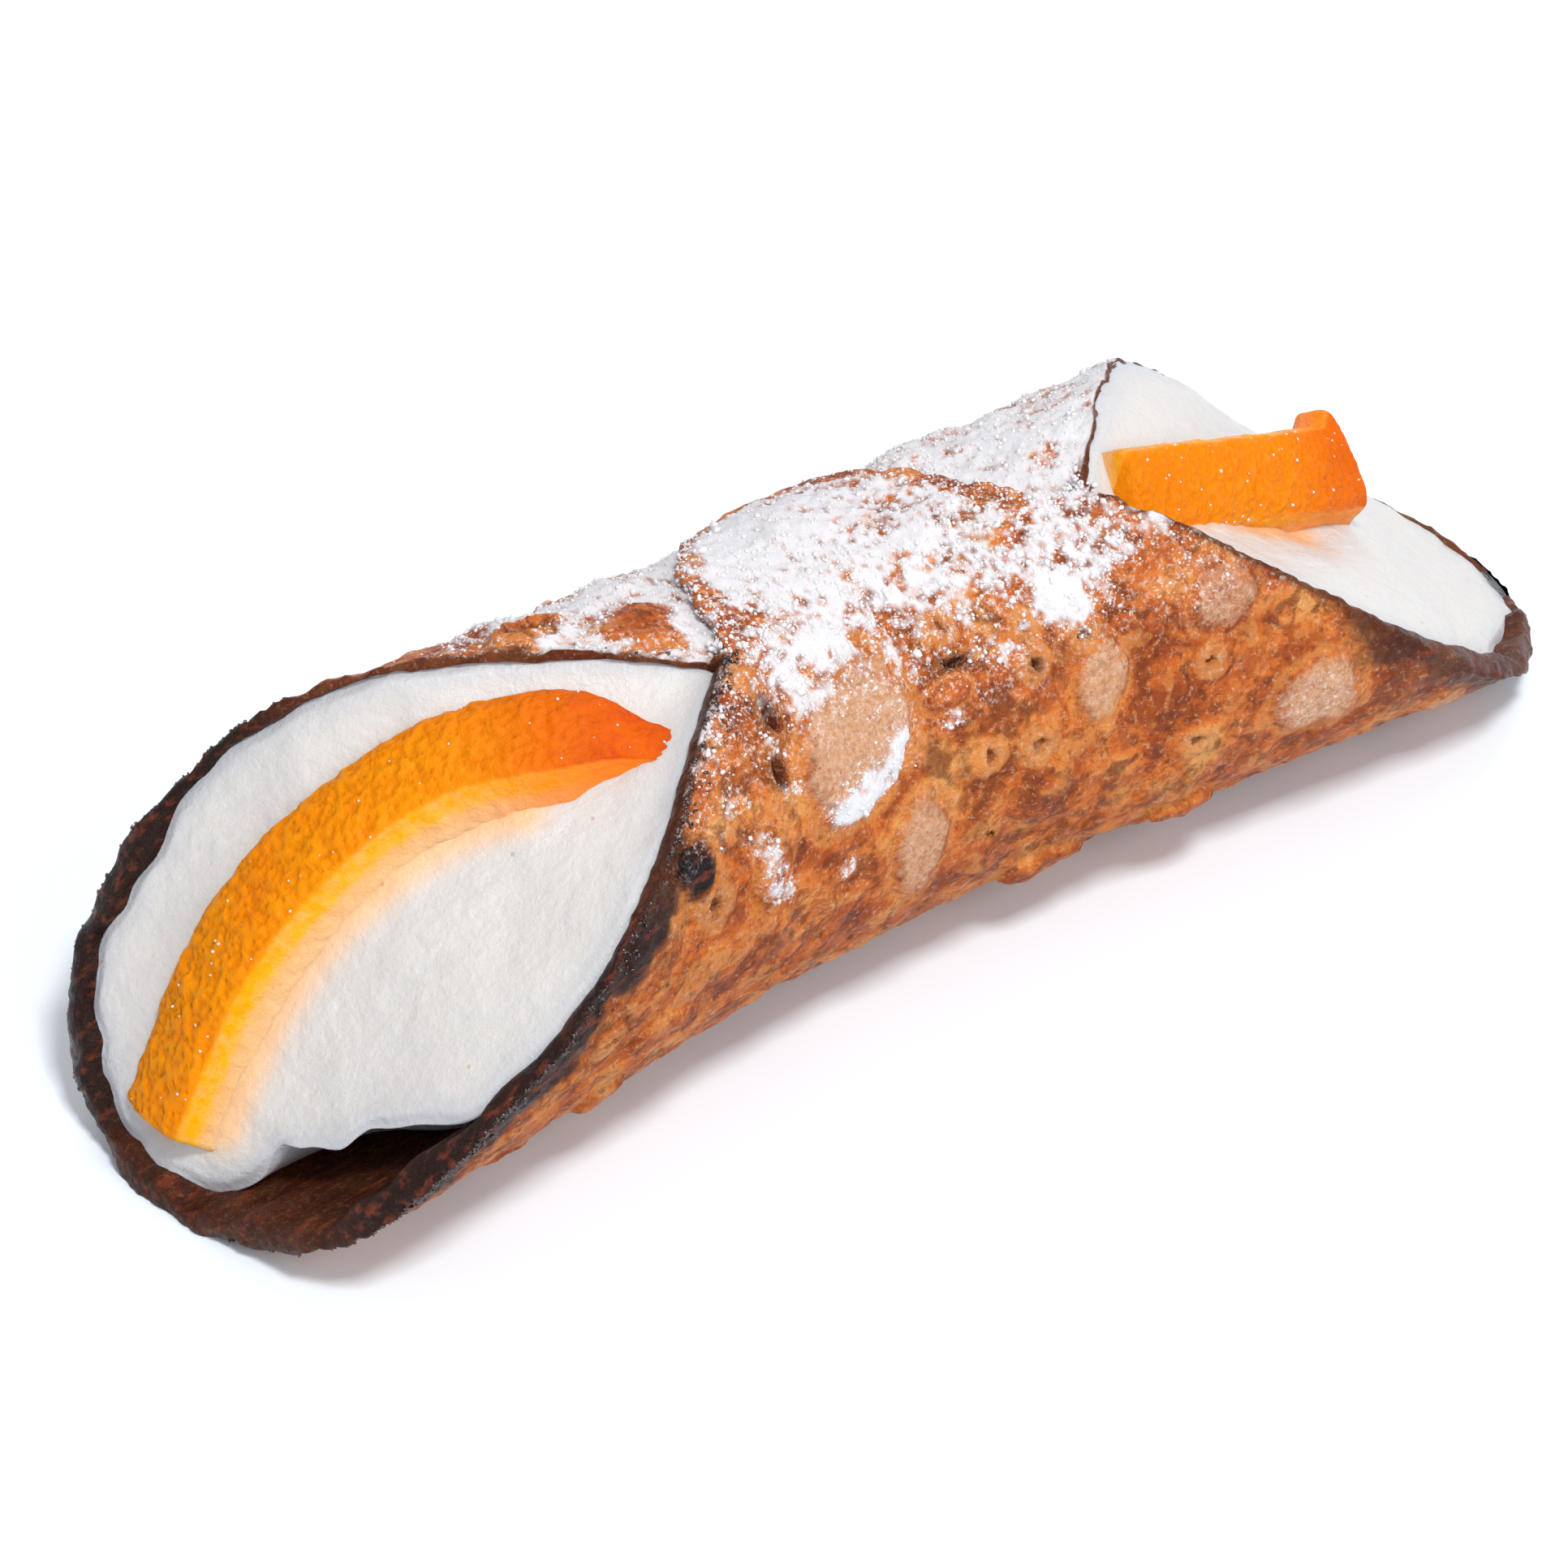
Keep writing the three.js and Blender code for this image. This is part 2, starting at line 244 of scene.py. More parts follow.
def gradient_noise(points, size, seed):
    """Smooth noise between about -1 and 1 whose lumps are about size across."""
    table = np.random.default_rng(seed)
    order = table.permutation(256)
    slopes = table.normal(size=(256, 3))
    slopes /= np.linalg.norm(slopes, axis=1, keepdims=True)
    place = points / size + 137.0
    cell = np.floor(place).astype(int)
    inside = place - cell
    fade = inside ** 3 * (inside * (inside * 6 - 15) + 10)
    total = np.zeros(points.shape[:-1])
    for corner in np.ndindex(2, 2, 2):
        lattice = (cell + corner) % 256
        pick = order[(order[(order[lattice[..., 0]] + lattice[..., 1]) % 256] + lattice[..., 2]) % 256]
        weight = np.prod(np.where(np.array(corner), fade, 1 - fade), axis=-1)
        total += weight * np.sum(slopes[pick] * (inside - corner), axis=-1)
    return 1.6 * total


def layered_noise(points, size, layers, seed):
    """Noise of several sizes, each half as large and half as strong as the one before."""
    return sum(gradient_noise(points, size / 2 ** k, seed + k) / 2 ** k for k in range(layers))


def smooth_curve(values, place):
    """Smooth curve through evenly spaced values, at places counted from the first one."""
    values = np.asarray(values, float)
    ends = np.concatenate([[2 * values[0] - values[1]], values, [2 * values[-1] - values[-2]]])
    index = np.minimum(np.floor(place).astype(int), len(values) - 2)
    t = (place - index).reshape(np.shape(place) + (1,) * (values.ndim - 1))
    before, start, end, after = (ends[index + k] for k in range(4))
    square = 2 * before - 5 * start + 4 * end - after
    cubic = 3 * (start - end) + after - before
    return start + 0.5 * t * (end - before + t * (square + t * cubic))


def through_stations(values, wrap):
    """Smooth curve through values given every 45 degrees of wrap."""
    last = len(values) - 1
    return smooth_curve(values, np.clip((wrap / math.pi + 1) * 0.5 * last, 0, last))


def fold_wrap(wrap):
    """A wrap angle past the crest, written as one on the other side."""
    return np.where(wrap > math.pi, wrap - 2 * math.pi, wrap)


def rim_measure(name, share, wrap):
    """A measure of the rim on whose side of the waist each point lies."""
    folded = fold_wrap(wrap)
    return np.where(share < 0, through_stations(NEAR[name], folded), through_stations(FAR[name], folded))


def tube_points(share, wrap, offset, shift=0.0):
    """Points on the tube at shares of the way from the waist (0) to a rim (-1 or 1)."""
    share, wrap, offset = np.broadcast_arrays(share, wrap, offset)
    rim = rim_measure("radius", share, wrap)
    radius = WAIST_RADIUS + (rim - WAIST_RADIUS) * np.abs(share) ** LIP_BEND + offset
    along = share * rim_measure("reach", share, wrap) + shift
    return np.stack([along, -radius * np.sin(wrap), -radius * np.cos(wrap)], axis=-1)


def wall_at(share, wrap):
    """Thickness of the wall, which thins towards the rims except low on the front."""
    angle = np.degrees(fold_wrap(wrap))
    front = smoothstep(130, 108, angle)
    low = front * np.where(share < 0, smoothstep(-100, -70, angle), smoothstep(20, 50, angle))
    uneven = 1 + 0.2 * np.sin(9 * wrap) + 0.12 * np.sin(23 * wrap + 1)
    rim = (0.9 + 1.7 * low) * uneven
    gap = (1 - np.abs(share)) * rim_measure("reach", share, wrap)
    return WALL - (WALL - rim) * smoothstep(13, 0, gap)


def lay_down(points):
    """From the tube's frame in millimetres to the part's frame in metres, flat where it meets the floor."""
    turn = np.array(Matrix.Rotation(ROLL, 3, "X"))
    laid = points @ turn.T + np.array([-MIDDLE[0], -MIDDLE[1], AXIS_HEIGHT])
    laid[..., 2] = np.maximum(laid[..., 2], 0)
    return laid * MM


def quads_between(rows, columns, close_rows, close_columns):
    """Corner numbers of the cells of a grid of points."""
    number = np.arange(rows * columns).reshape(rows, columns)
    if close_rows:
        number = np.vstack([number, number[:1]])
    if close_columns:
        number = np.hstack([number, number[:, :1]])
    corners = number[:-1, :-1], number[1:, :-1], number[1:, 1:], number[:-1, 1:]
    return np.stack(corners, axis=-1).reshape(-1, 4)


def mesh_object(name, points, faces, attributes, material):
    """A smooth-shaded object from points, equal-sided faces and values on the points."""
    mesh = bpy.data.meshes.new(name)
    sides = faces.shape[1]
    mesh.vertices.add(len(points))
    mesh.vertices.foreach_set("co", np.ascontiguousarray(points, dtype=np.float32).ravel())
    mesh.loops.add(faces.size)
    mesh.loops.foreach_set("vertex_index", np.ascontiguousarray(faces, dtype=np.int32).ravel())
    mesh.polygons.add(len(faces))
    mesh.polygons.foreach_set("loop_start", np.arange(0, faces.size, sides, dtype=np.int32))
    mesh.update(calc_edges=True)
    mesh.polygons.foreach_set("use_smooth", np.ones(len(faces), dtype=bool))
    for label, values in attributes.items():
        layer = mesh.attributes.new(label, "FLOAT", "POINT")
        layer.data.foreach_set("value", np.ascontiguousarray(values, dtype=np.float32).ravel())
    mesh.validate()
    mesh.materials.append(material)
    piece = bpy.data.objects.new(name, mesh)
    bpy.context.collection.objects.link(piece)
    return piece


def outward(points, faces):
    """The faces, turned over if they look inwards."""
    a, b, c = (points[faces[:, k]] for k in range(3))
    return faces if np.sum(a * np.cross(b, c)) > 0 else faces[:, ::-1]


class Nodes:
    """Short helpers for building one material."""

    def __init__(self, name):
        self.material = bpy.data.materials.new(name)
        self.material.use_nodes = True
        self.tree = self.material.node_tree
        self.shader = self.tree.nodes["Principled BSDF"]
        place = self.tree.nodes.new("ShaderNodeTexCoord")
        self.place = place.outputs["Object"]

    def feed(self, value, socket):
        """Link a socket to another one, or set its own value or hex colour."""
        if isinstance(value, bpy.types.NodeSocket):
            self.tree.links.new(value, socket)
        else:
            socket.default_value = hex_colour(value) if isinstance(value, str) else value

    def attribute(self, name):
        node = self.tree.nodes.new("ShaderNodeAttribute")
        node.attribute_name = name
        return node.outputs["Fac"]

    def noise(self, size_mm, detail=4.0, roughness=0.55, stretch=None):
        node = self.tree.nodes.new("ShaderNodeTexNoise")
        node.inputs["Scale"].default_value = 1 / (size_mm * MM)
        node.inputs["Detail"].default_value = detail
        node.inputs["Roughness"].default_value = roughness
        place = self.place
        if stretch:
            mapping = self.tree.nodes.new("ShaderNodeMapping")
            mapping.inputs["Scale"].default_value = stretch
            self.feed(self.place, mapping.inputs["Vector"])
            place = mapping.outputs["Vector"]
        self.feed(place, node.inputs["Vector"])
        return node.outputs["Fac"]

    def cells(self, size_mm):
        node = self.tree.nodes.new("ShaderNodeTexVoronoi")
        node.inputs["Scale"].default_value = 1 / (size_mm * MM)
        self.feed(self.place, node.inputs["Vector"])
        return node.outputs["Distance"]

    def broken(self, mask, size_mm):
        """A mask whose soft edges are broken up into grains."""
        grains = self.math("MULTIPLY", self.noise(size_mm, 5, 0.7), 0.5)
        level = self.math("ADD", self.math("MULTIPLY", mask, 0.5), grains)
        return self.ramp(level, [(0.43, 0.0), (0.57, 1.0)])

    def speckled(self, mask, size_mm):
        """A mask with wide, grainy edges."""
        grains = self.math("MULTIPLY", self.math("SUBTRACT", self.noise(size_mm, 5, 0.7), 0.5), 1.5)
        return self.ramp(self.math("ADD", mask, grains), [(0.3, 0.0), (0.9, 1.0)])

    def ramp(self, factor, stops):
        node = self.tree.nodes.new("ShaderNodeValToRGB")
        elements = node.color_ramp.elements
        while len(elements) < len(stops):
            elements.new(0.5)
        for element, (place, colour) in zip(elements, stops):
            element.position = place
            element.color = hex_colour(colour) if isinstance(colour, str) else (colour, colour, colour, 1.0)
        self.feed(factor, node.inputs["Fac"])
        return node.outputs["Color"]

    def flecks(self, low, high, *noise):
        """A mask that fades in from a low to a high level of noise."""
        return self.ramp(self.noise(*noise), [(low, 0.0), (high, 1.0)])

    def dots(self, inner, outer, size_mm):
        """A mask of small dots that fade out from an inner to an outer radius, as shares of a cell."""
        return self.ramp(self.cells(size_mm), [(inner, 1.0), (outer, 0.0)])

    def mix(self, factor, first, second):
        node = self.tree.nodes.new("ShaderNodeMix")
        node.data_type = "RGBA"
        for value, index in ((factor, 0), (first, 6), (second, 7)):
            self.feed(value, node.inputs[index])
        return node.outputs[2]

    def tint(self, colour, mask, amount, code):
        """A colour taken some of the way to another one where a mask is high."""
        return self.mix(self.math("MULTIPLY", mask, amount), colour, code)

    def math(self, operation, first, second):
        node = self.tree.nodes.new("ShaderNodeMath")
        node.operation = operation
        self.feed(first, node.inputs[0])
        self.feed(second, node.inputs[1])
        return node.outputs[0]

    def bump(self, height, distance_mm, strength=1.0, after=None):
        node = self.tree.nodes.new("ShaderNodeBump")
        node.inputs["Distance"].default_value = distance_mm * MM
        self.feed(strength, node.inputs["Strength"])
        self.feed(height, node.inputs["Height"])
        if after:
            self.feed(after, node.inputs["Normal"])
        return node.outputs["Normal"]

    def set(self, **values):
        for label, value in values.items():
            self.feed(value, self.shader.inputs[label.replace("_", " ")])


def dough_colour(make):
    """Mottled amber dough with golden crests, toasted hollows, pale and dark flecks and burnt freckles."""
    shades = [(0.38, "8C3E14"), (0.47, "B65A1F"), (0.55, "C86F2E"), (0.66, "D29350")]
    colour = make.ramp(make.noise(7, 8, 0.66), shades)
    colour = make.tint(colour, make.flecks(0.49, 0.56, 2.2, 6, 0.7), 0.55, "8A3A12")
    colour = make.tint(colour, make.broken(make.attribute("golden"), 0.9), 0.5, "CF8947")
    colour = make.tint(colour, make.broken(make.attribute("toast"), 1.3), 0.7, "5C260F")
    colour = make.tint(colour, make.flecks(0.55, 0.68, 0.6, 4, 0.75), 0.5, "DFB28C")
    colour = make.tint(colour, make.flecks(0.55, 0.66, 0.75, 4, 0.75), 0.5, "5E280E")
    return make.tint(colour, make.dots(0.08, 0.2, 1.7), 0.45, "4E200A")


def floury_colour(make):
    """Dry, floury skin of the pale blisters, pitted with brown."""
    colour = make.mix(make.flecks(0.36, 0.64, 0.6, 5, 0.75), "B17D58", "D0A384")
    colour = make.tint(colour, make.flecks(0.56, 0.68, 0.45, 4, 0.75), 0.45, "EBDCD4")
    return make.tint(colour, make.dots(0.1, 0.24, 1.1), 0.45, "8A5230")


def burnt_colour(make):
    """Nearly black dough with brown streaks along the tube."""
    ember = make.flecks(0.52, 0.70, 1.8, 5, 0.6, (0.5, 1.6, 1.6))
    return make.mix(ember, "140909", "6E301C")


def crust_material():
    """Fried dough: mottled amber, pale matte blisters, burnt rims and a dusting of icing sugar."""
    make = Nodes("crust")
    pale = make.speckled(make.attribute("pale"), 0.8)
    char = make.attribute("char")
    sugar = make.attribute("sugar")
    speck = make.flecks(0.53, 0.64, 0.5, 4, 0.75)
    colour = make.mix(pale, dough_colour(make), floury_colour(make))
    colour = make.mix(char, colour, burnt_colour(make))
    colour = make.tint(colour, make.attribute("dust"), speck, "E4DFDC")
    colour = make.mix(sugar, colour, "D3D2D6")
    satin = make.ramp(make.noise(2, 4), [(0.3, 0.36), (0.7, 0.7)])
    glint = make.ramp(make.noise(0.9, 4, 0.6), [(0.42, 0.1), (0.58, 0.4)])
    rough = make.mix(pale, make.mix(char, satin, glint), (0.85, 0.85, 0.85, 1))
    rough = make.mix(sugar, rough, (0.95, 0.95, 0.95, 1))
    firm = make.math("SUBTRACT", 1.0, make.math("MULTIPLY", sugar, 0.55))
    coarse = make.bump(make.noise(1.5, 6, 0.7), 0.45, firm)
    fine = make.bump(make.noise(0.4, 3, 0.7), 0.2, firm, coarse)
    make.set(Base_Color=colour, Roughness=rough, Normal=fine, Specular_IOR_Level=0.16)
    return make.material


def cream_material():
    """Sweet ricotta cream: moist, faintly grainy, with painted shade at its edge by the wall and a painted
    warm glow beside the peel.
    """
    make = Nodes("cream")
    colour = make.mix(make.noise(11, 3), "CECBC9", "D6D3D0")
    # Painted shade: bluish grey towards the cream's edge, where it meets the wall
    colour = make.tint(colour, make.attribute("edge"), 0.6, "B9BDC7")
    # Painted glow: the cream is tinted peach beside the pith, as if lit through the peel
    colour = make.mix(make.attribute("glow"), colour, "F2BE86")
    colour = make.tint(colour, make.dots(0.035, 0.06, 4.6), 0.5, "B58A5C")
    rough = make.ramp(make.noise(1.2, 4), [(0.3, 0.28), (0.7, 0.55)])
    smear = make.bump(make.noise(3.2, 4, 0.5, (1.0, 0.45, 1.0)), 0.25, 0.6)
    grain = make.bump(make.noise(0.5, 3, 0.7), 0.17, 0.9, smear)
    make.set(Base_Color=colour, Roughness=rough, Normal=grain, Specular_IOR_Level=0.5)
    make.set(Subsurface_Weight=0.35, Subsurface_Radius=(1.0, 0.8, 0.6), Subsurface_Scale=0.002)
    return make.material


def peel_material():
    """Candied orange peel: pitted zest over a yellow line and a translucent peach pith."""
    make = Nodes("peel")
    # The blush attribute also carries the painted shade that darkens the far strip
    blush = make.attribute("blush")
    depth = make.attribute("depth")
    zest = make.mix(blush, "E68C00", "C43E06")
    zest = make.tint(zest, make.flecks(0.45, 0.75, 5.5, 4), 0.5, "EC7000")
    zest = make.tint(zest, make.attribute("pore"), 0.4, "DA6C00")
    pith = make.ramp(depth, [(0.16, "EE9E00"), (0.38, "EEA600"), (0.52, "E4AA6A"), (0.8, "E0B486")])
    pith = make.tint(pith, make.flecks(0.4, 0.75, 1.5, 5, 0.65), 0.3, "E6C69E")
    pith = make.mix(blush, pith, "EC7A20")
    edge = make.math("ADD", depth, make.math("MULTIPLY", make.noise(2, 3), 0.05))
    colour = make.mix(make.ramp(edge, [(0.13, 0.0), (0.19, 1.0)]), zest, pith)
    rough = make.ramp(make.noise(1.4, 4), [(0.35, 0.12), (0.65, 0.42)])
    bump = make.bump(make.noise(0.7, 4, 0.65), 0.28)
    make.set(Base_Color=colour, Roughness=rough, Normal=bump, Specular_IOR_Level=0.09)
    make.set(Subsurface_Weight=0.12, Subsurface_Radius=(1.0, 0.45, 0.1), Subsurface_Scale=0.0014)
    return make.material


def sugar_material():
    """Icing sugar: dry, bright lumps."""
    make = Nodes("sugar")
    colour = make.mix(make.noise(0.8, 3), "D2D0D4", "DFDEE1")
    make.set(Base_Color=colour, Roughness=0.9, Normal=make.bump(make.noise(0.25, 3), 0.06))
    make.set(Subsurface_Weight=0.2, Subsurface_Radius=(1.0, 1.0, 1.0), Subsurface_Scale=0.0003)
    return make.material


def crumb_material():
    """Burnt crumbs of dough on the rims."""
    make = Nodes("burnt_crumb")
    colour = make.mix(make.flecks(0.4, 0.65, 1.2, 4), "140A0B", "4A281C")
    bump = make.bump(make.noise(0.3, 4), 0.1)
    make.set(Base_Color=colour, Roughness=0.12, Normal=bump, Specular_IOR_Level=0.9)
    return make.material


def floor_material():
    """Pale, plain studio floor."""
    make = Nodes("floor")
    colour = make.mix(make.noise(60, 2), "EBF4FD", "ECF5FE")
    make.set(Base_Color=colour, Roughness=0.7)
    return make.material


def flap_edge(share):
    """Wrap angle where the front flap ends, a little ragged."""
    reach = FLAP_REACH * np.maximum(0, 1 - np.hypot(share, 0.08)) ** 1.8
    ragged = np.sin(31 * share + 1) + 0.7 * np.sin(57 * share) + 0.5 * np.sin(113 * share + 2)
    return math.pi + reach + 0.9 * DEGREES * ragged * (1 - share ** 2)


def shell_columns(share):
    """Wrap angle and lift of every outer column, one row for each share."""
    edge = flap_edge(share)[:, None]
    front = edge * np.linspace(0, 1, FRONT_COLUMNS + 1)[None]
    front_lift = FLAP_LIFT * smoothstep(math.pi - FLAP_RISE, math.pi, front)
    turn = np.linspace(0, 1, LAP_COLUMNS + 2)[None, 1:-1] * math.pi
    lap = edge + 0.45 / WAIST_RADIUS * np.sin(turn * 1.25)
    lap_lift = FLAP_LIFT * (0.5 + 0.5 * np.cos(turn)) + 0 * edge
    back = (edge - 2 * math.pi) * np.linspace(1, 0, BACK_COLUMNS + 1)[None, :-1]
    wrap = np.hstack([front, lap, back - 0.25 / WAIST_RADIUS * (back < edge - 2 * math.pi + 1e-6)])
    lift = np.hstack([front_lift, lap_lift, 0 * back])
    return wrap, lift


def blister_list():
    """Blisters that show, a seeded scatter of others away from them, and tiny ones all over."""
    blisters = list(BLISTERS)
    for _ in range(UNSEEN_BLISTERS):
        along, wrap = random.uniform(*UNSEEN_ALONG), random.uniform(*UNSEEN_WRAP)
        size = random.uniform(*UNSEEN_SIZES)
        pale = random.choice([0.0, 0.3, 0.8])
        blisters.append((along, wrap, size, size * random.uniform(0.8, 1.3), 0.16 * size, pale))
    for _ in range(TINY_BLISTERS):
        along, wrap = random.uniform(*TINY_ALONG), random.uniform(*TINY_WRAP)
        size = random.uniform(*TINY_SIZES)
        blisters.append((along, wrap, size, size * random.uniform(0.8, 1.3), 0.2 * size, 0.0))
    return blisters


def blister_place(along, wrap, centre, angle):
    """Distances from a blister's middle, along its lean and round the tube."""
    upwards = WAIST_RADIUS * (wrap - angle * DEGREES)
    lean = BLISTER_LEAN * max(0, angle - UPRIGHT_ANGLE)
    return along - centre - lean * upwards, upwards


def oval_distance(along, wrap, centre, angle, half_along, half_round):
    """Distance from the middle of an oval patch on the tube, 1 on its edge."""
    upwards = WAIST_RADIUS * (wrap - angle * DEGREES)
    return np.hypot((along - centre) / half_along, upwards / half_round)


class Crust:
    """Rise and colour masks that are built up over the outside of the shell."""

    def __init__(self, points, wrap):
        self.along = points[..., 0]
        self.wrap = wrap
        self.wobble = layered_noise(points, 5.5, 3, 71)
        self.uneven = layered_noise(points, 1.6, 2, 75)
        self.pebble = layered_noise(points, 4.5, 3, 31)
        self.grit = layered_noise(points, 1.4, 2, 41)
        self.rise = 0.42 * layered_noise(points, 13, 2, 21) + 0.32 * self.pebble + 0.11 * self.grit
        self.domes = np.zeros(self.along.shape)
        self.pale = np.zeros(self.along.shape)
        self.burnt = np.zeros(self.along.shape)
        self.golden = 0.75 * smoothstep(0.1, 0.6, self.pebble + 0.3 * self.grit)
        hollows = smoothstep(-0.05, -0.6, self.pebble + 0.4 * self.grit)
        veins = np.abs(layered_noise(points, 7, 3, 77))
        self.toast = 0.6 * np.maximum(hollows, smoothstep(0.22, 0.04, veins))

    def distance(self, *oval):
        return oval_distance(self.along, self.wrap, *oval)

    def add_dark_patch(self, centre, angle, half_along, half_round, strength):
        far = self.distance(centre, angle, half_along, half_round) + 0.5 * self.pebble
        self.toast = np.maximum(self.toast, strength * smoothstep(1.3, 0.4, far))

    def add_blister(self, centre, angle, half_along, half_round, height, pale):
        """A dome with a golden crest, a toasted foot and, where it is pale, a broken dark outline."""
        sideways, upwards = blister_place(self.along, self.wrap, centre, angle)
        far = np.hypot(sideways / half_along, upwards / half_round)
        near = far < 1.6
        ragged = far[near] + 0.2 * self.wobble[near] + 0.06 * self.uneven[near]
        dome = height * (0.65 * smoothstep(1.0, 0.7, ragged) + 0.35 * np.clip(1 - ragged ** 2, 0, 1))
        crest = np.exp(-((ragged - 1.05) / 0.18) ** 2) * min(1, height)
        foot = np.exp(-((ragged - 1.32) / 0.12) ** 2) * min(1, height)
        outline = pale * np.exp(-((ragged - 0.98) / 0.12) ** 2) * np.clip(0.4 + self.wobble[near], 0, 1)
        toasted = np.maximum(0.5 * foot, 0.6 * outline)
        self.domes[near] = np.maximum(self.domes[near], dome)
        self.pale[near] = np.maximum(self.pale[near], pale * smoothstep(1.2, 0.5, ragged))
        self.golden[near] = np.maximum(self.golden[near], 0.8 * crest)
        self.toast[near] = np.maximum(self.toast[near] * (1 - crest), toasted)

    def add_ring(self, centre, angle, size):
        """A small golden mound with a toasted pit in the middle."""
        far = self.distance(centre, angle, size, size) + 0.3 * self.uneven
        mound = smoothstep(1.7, 0.7, far)
        pit = smoothstep(0.6, 0.3, far + 0.5 * np.abs(self.grit))
        self.domes += 0.55 * mound - 0.9 * pit
        self.golden = np.maximum(self.golden, mound)
        self.pale = np.maximum(self.pale, 0.4 * mound)
        self.toast = np.maximum(self.toast * (1 - mound), 0.85 * pit)

    def add_tear(self, centre, angle, half_along, half_round):
        """A hole with raised golden lips and a burnt bottom."""
        far = self.distance(centre, angle, half_along, half_round) + 0.22 * self.wobble
        self.domes += 0.7 * np.exp(-((far - 1.25) / 0.3) ** 2) - 1.7 * smoothstep(1.0, 0.6, far)
        self.toast = np.maximum(self.toast, smoothstep(1.1, 0.7, far))
        self.golden = np.maximum(self.golden, np.exp(-((far - 1.5) / 0.35) ** 2))
        self.burnt = np.maximum(self.burnt, 0.7 * smoothstep(0.8, 0.4, far))

    def add_burnt_spot(self, centre, angle, size):
        far = self.distance(centre, angle, size, size) + 0.15 * self.wobble + 0.3 * self.grit
        self.burnt = np.maximum(self.burnt, smoothstep(1.2, 0.6, far))


def crust_relief(points, wrap):
    """The crust with all that frying left on it."""
    crust = Crust(points, wrap)
    for patch in DARK_PATCHES:
        crust.add_dark_patch(*patch)
    for blister in blister_list():
        crust.add_blister(*blister)
    for ring in RINGS:
        crust.add_ring(*ring)
    for tear in TEARS:
        crust.add_tear(*tear)
    crust.add_burnt_spot(*BURNT_SPOT)
    return crust


def sugar_loss(along, wrap, edge_gap):
    """How much less sugar lies on the back by the near mouth, along the flap's edge and in bare patches."""
    angle = np.degrees(wrap)
    back_left = (0.1 + 0.4 * smoothstep(-30, -46, along)) * smoothstep(-13, -20, along) * (wrap < 0)
    beside_flap = np.exp(-(edge_gap / 2.2) ** 2) * smoothstep(24, 8, along) * smoothstep(-20, -10, along)
    loss = back_left + 0.36 * beside_flap
    for centre, spot, half_along, half_angle, amount in BARE_PATCHES:
        far = ((along - centre) / half_along) ** 2 + ((angle - spot) / half_angle) ** 2
        loss = loss + amount * np.exp(-far)
    return loss


def blister_drift(along, wrap, patchy):
    """Sugar that rests along the lower edge of the largest blister."""
    centre, spot, half_along, half_round = BLISTERS[0][:4]
    sideways, upwards = blister_place(along, wrap, centre, spot)
    sideways, upwards = sideways / half_along, upwards / half_round
    rest = smoothstep(-0.3, 0.8, 0.35 * sideways - 0.9 * upwards)
    return rest * smoothstep(1.2, 0.9, np.hypot(sideways, upwards) + 0.5 * patchy)


def sugar_masks(points, wrap, edge_gap):
    """Where icing sugar has settled: thick on what faces up and a little to the back, broken lower down."""
    along = points[..., 0]
    facing = -np.cos(wrap - ROLL - SUGAR_FALL)
    patchy = 0.2 * layered_noise(points, 11, 3, 51) + 0.17 * layered_noise(points, 2.6, 3, 61)
    level = facing + patchy - sugar_loss(along, wrap, edge_gap)
    for *oval, amount in SUGAR_SPOTS:
        far = oval_distance(along, wrap, *oval)
        level = np.maximum(level, (amount + 0.9 * patchy) * smoothstep(1.7, 0.45, far))
    level = np.maximum(level, (1.05 + 1.4 * patchy) * blister_drift(along, wrap, patchy))
    crisp = 0.18 * layered_noise(points, 0.9, 2, 65)
    return smoothstep(0.73, 0.96, level + crisp), smoothstep(0.25, 0.85, level)


def shell_outside():
    """The outside from the near rim to the far one: its points, colour masks and places on the tube."""
    share = np.linspace(-1, 1, SHELL_ROWS)[:, None]
    wrap, lift = shell_columns(share[:, 0])
    plain = tube_points(share, wrap, lift)
    crust = crust_relief(plain, wrap)
    edge_gap = WAIST_RADIUS * np.abs(flap_edge(share) - wrap)
    thick, dust = sugar_masks(plain, wrap, edge_gap)
    rim_gap = (1 - np.abs(share)) * rim_measure("reach", share, wrap)
    near_rim = np.exp(-rim_gap / 2.2)
    rise = (crust.rise + crust.domes) * (1 - 0.5 * near_rim)
    rise += near_rim * 0.45 * layered_noise(plain, 2.0, 3, 91)
    rise += thick * (0.22 + 0.15 * layered_noise(plain, 1.3, 3, 95))
    nibble = near_rim * 0.7 * layered_noise(plain, 6.0, 2, 85)
    points = tube_points(share, wrap, lift + rise, np.sign(share) * nibble)
    burn, band = rim_burn(share, wrap)
    width = np.maximum(band * (1 + 0.75 * layered_noise(plain, 5.0, 4, 81)), 0.2)
    char = np.maximum(burn * smoothstep(1.0, 0.6, rim_gap / width), crust.burnt)
    masks = {
        "pale": crust.pale * (1 - thick),
        "golden": crust.golden,
        "toast": np.maximum(crust.toast, 0.8 * np.exp(-rim_gap / (0.6 + 1.8 * band))),
        "char": char * (1 - thick),
        "dust": dust,
        "sugar": thick,
    }
    return points, masks, {"share": share, "wrap": wrap, "rim": rim_gap, "flap": edge_gap}


def inner_columns():
    """Wrap angle of every inner column: like those of the far rim, but with the lap closed up."""
    rim = shell_columns(np.array([1.0]))[0][0]
    return np.concatenate([
        rim[:FRONT_COLUMNS + 1],
        math.pi + 0.001 * np.arange(1, LAP_COLUMNS + 1),
        -math.pi + 0.01 + (math.pi - 0.01) * np.linspace(0, 1, BACK_COLUMNS + 1)[:-1],
    ])


